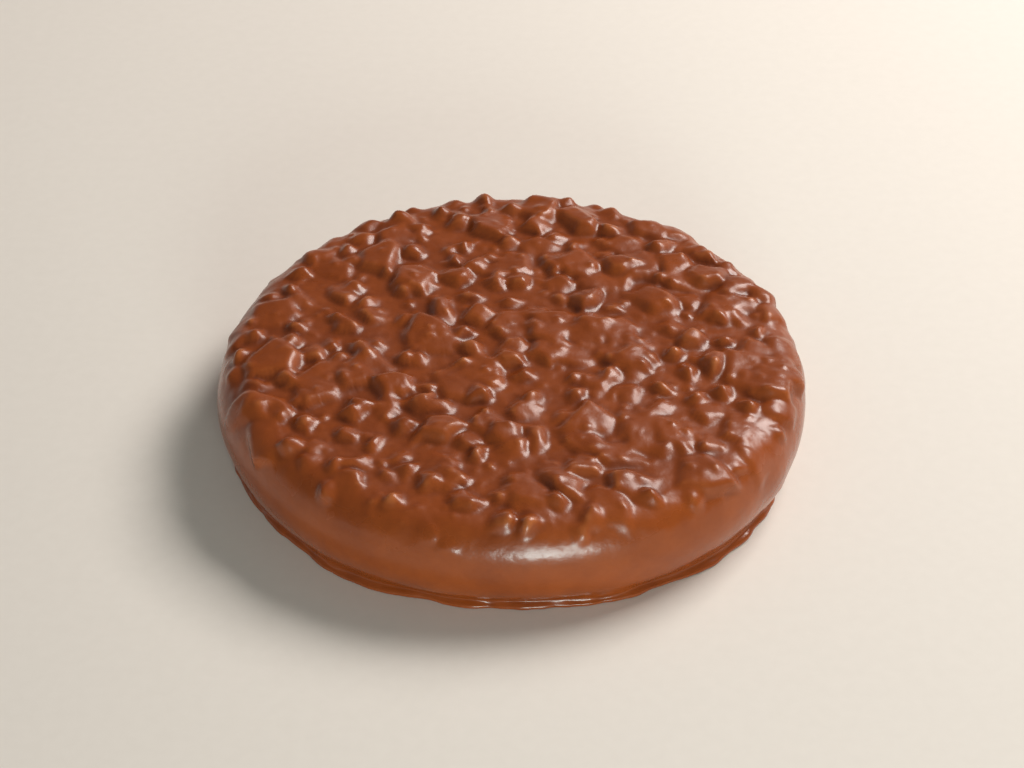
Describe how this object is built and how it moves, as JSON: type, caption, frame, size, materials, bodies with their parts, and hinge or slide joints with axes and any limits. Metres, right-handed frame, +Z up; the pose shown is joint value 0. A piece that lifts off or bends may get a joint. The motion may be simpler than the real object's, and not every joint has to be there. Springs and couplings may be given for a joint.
{
  "type": "almond chocolate disc",
  "caption": "Round milk chocolate with a rounded smooth side, a flat base with a thin foot lip, and a lumpy face of chopped almonds under the coat.",
  "frame": {"origin": "middle of the flat base, on the surface the disc lies on", "axes": "+Z up through the disc, from the flat base to the lumpy almond face; X and Y lie across it"},
  "size_m": [0.0484, 0.0478, 0.009],
  "materials": {
    "milk_chocolate": "milk chocolate with a soft set gloss, warm mid brown, smoother and shinier on the side than on the lumpy face"
  },
  "bodies": {
    "root": {"chocolate_disc": "milk_chocolate"}
  },
  "joints": []
}
